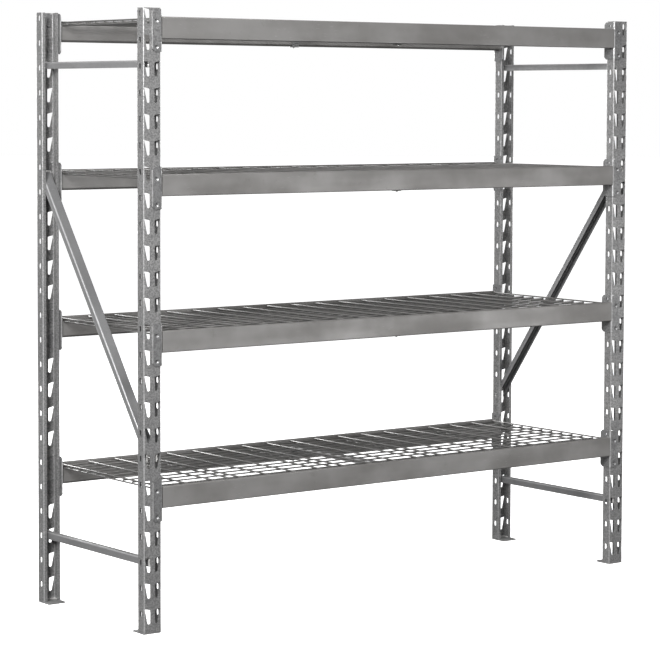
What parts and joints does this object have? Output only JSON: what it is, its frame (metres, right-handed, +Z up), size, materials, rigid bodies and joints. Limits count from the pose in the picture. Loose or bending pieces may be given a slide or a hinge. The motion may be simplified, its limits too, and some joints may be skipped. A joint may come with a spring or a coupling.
{
  "type": "boltless steel shelving",
  "caption": "Free-standing boltless steel rack: channel posts with tapered slots, hooked step beams and welded wire decks.",
  "frame": {"origin": "on the floor, at the centre of the rack's footprint", "axes": "+X along the shelves to the right, +Y from the front to the back, +Z up"},
  "size_m": [1.93, 0.6096, 1.8288],
  "materials": {
    "frame_paint": "satin hammered silver-grey enamel",
    "beam_paint": "satin smooth silver-grey enamel",
    "bracket_paint": "satin hammered silver-grey enamel",
    "wire_paint": "satin silver-grey enamel",
    "zinc": "bright zinc plate"
  },
  "bodies": {
    "end_frames": {"post_left_front": "frame_paint", "foot_plate_left_front": "frame_paint", "post_left_back": "frame_paint", "foot_plate_left_back": "frame_paint", "top_brace_left": "frame_paint", "low_brace_left": "frame_paint", "diagonal_brace_left": "frame_paint", "post_right_front": "frame_paint", "foot_plate_right_front": "frame_paint", "post_right_back": "frame_paint", "foot_plate_right_back": "frame_paint", "top_brace_right": "frame_paint", "low_brace_right": "frame_paint", "diagonal_brace_right": "frame_paint"},
    "shelf_1": {"beam_1_front": "beam_paint", "beam_1_back": "beam_paint", "bracket_1_left_front": "bracket_paint", "bracket_1_left_back": "bracket_paint", "bracket_1_right_front": "bracket_paint", "bracket_1_right_back": "bracket_paint", "centre_tie_1": "bracket_paint", "tie_screw_1_front": "zinc", "tie_screw_1_back": "zinc"},
    "shelf_2": {"beam_2_front": "beam_paint", "beam_2_back": "beam_paint", "bracket_2_left_front": "bracket_paint", "bracket_2_left_back": "bracket_paint", "bracket_2_right_front": "bracket_paint", "bracket_2_right_back": "bracket_paint", "centre_tie_2": "bracket_paint", "tie_screw_2_front": "zinc", "tie_screw_2_back": "zinc"},
    "shelf_3": {"beam_3_front": "beam_paint", "beam_3_back": "beam_paint", "bracket_3_left_front": "bracket_paint", "bracket_3_left_back": "bracket_paint", "bracket_3_right_front": "bracket_paint", "bracket_3_right_back": "bracket_paint", "centre_tie_3": "bracket_paint", "tie_screw_3_front": "zinc", "tie_screw_3_back": "zinc"},
    "shelf_4": {"beam_4_front": "beam_paint", "beam_4_back": "beam_paint", "bracket_4_left_front": "bracket_paint", "bracket_4_left_back": "bracket_paint", "bracket_4_right_front": "bracket_paint", "bracket_4_right_back": "bracket_paint", "centre_tie_4": "bracket_paint", "tie_screw_4_front": "zinc", "tie_screw_4_back": "zinc"},
    "deck_1": {"wire_deck_1": "wire_paint"},
    "deck_2": {"wire_deck_2": "wire_paint"},
    "deck_3": {"wire_deck_3": "wire_paint"},
    "deck_4": {"wire_deck_4": "wire_paint"}
  },
  "joints": [
    {"name": "shelf_1_unhook", "type": "slide", "parent": "end_frames", "child": "shelf_1", "axis": [0, 0, 1], "range_m": [0, 0.026]},
    {"name": "shelf_2_unhook", "type": "slide", "parent": "end_frames", "child": "shelf_2", "axis": [0, 0, 1], "range_m": [0, 0.026]},
    {"name": "shelf_3_unhook", "type": "slide", "parent": "end_frames", "child": "shelf_3", "axis": [0, 0, 1], "range_m": [0, 0.026]},
    {"name": "shelf_4_unhook", "type": "slide", "parent": "end_frames", "child": "shelf_4", "axis": [0, 0, 1], "range_m": [0, 0.026]},
    {"name": "deck_1_lift", "type": "slide", "parent": "shelf_1", "child": "deck_1", "axis": [0, 0, 1], "range_m": [0, 0.12]},
    {"name": "deck_2_lift", "type": "slide", "parent": "shelf_2", "child": "deck_2", "axis": [0, 0, 1], "range_m": [0, 0.12]},
    {"name": "deck_3_lift", "type": "slide", "parent": "shelf_3", "child": "deck_3", "axis": [0, 0, 1], "range_m": [0, 0.12]},
    {"name": "deck_4_lift", "type": "slide", "parent": "shelf_4", "child": "deck_4", "axis": [0, 0, 1], "range_m": [0, 0.12]}
  ]
}
